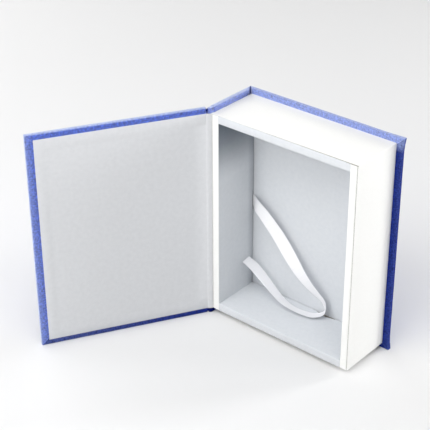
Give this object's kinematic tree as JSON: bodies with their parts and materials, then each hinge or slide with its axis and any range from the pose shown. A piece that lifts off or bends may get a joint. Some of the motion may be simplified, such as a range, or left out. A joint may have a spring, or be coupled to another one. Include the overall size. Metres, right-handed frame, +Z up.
{
  "type": "photo storage box",
  "caption": "Book-form box for photo prints: a cloth-covered hinged cover, spine and back round a lined tray with a lift ribbon, standing open on its bottom edges.",
  "frame": {"origin": "on the surface that the box stands on, at the middle of the back cover's bottom edge", "axes": "+Z up; +X from the spine to the fore-edge of the tray; the tray's mouth faces -Y and the back cover's outer face +Y"},
  "size_m": [0.2448, 0.199, 0.21],
  "materials": {
    "blue_cloth": "matte",
    "greyboard": "matte",
    "white_paper": "matte",
    "liner_paper": "matte",
    "lining_panel": "matte",
    "satin_ribbon": "satin"
  },
  "bodies": {
    "box": {"hinge_cloth": "blue_cloth", "joint_liner": "liner_paper", "spine_board": "greyboard", "spine_cloth": "blue_cloth", "back_cover_board": "greyboard", "back_cover_cloth": "blue_cloth", "base_board": "greyboard", "head_wall_board": "greyboard", "tail_wall_board": "greyboard", "spine_wall_board": "greyboard", "fore_wall_board": "greyboard", "head_paper": "white_paper", "tail_paper": "white_paper", "spine_side_paper": "white_paper", "fore_edge_paper": "white_paper", "spine_rim_strip": "white_paper", "fore_rim_strip": "white_paper", "head_lining": "lining_panel", "tail_lining": "lining_panel", "spine_lining": "lining_panel", "fore_lining": "lining_panel", "base_lining": "lining_panel", "ribbon_tail": "satin_ribbon", "ribbon": "satin_ribbon"},
    "front_cover": {"front_cover_board": "greyboard", "front_cover_cloth": "blue_cloth", "front_cover_liner": "liner_paper"}
  },
  "joints": [
    {"name": "front_cover_swing", "type": "hinge", "parent": "box", "child": "front_cover", "pos_m": [-0.07925, -0.05745, 0.105], "axis": [0, 0, 1], "range_deg": [-60, 120]}
  ]
}
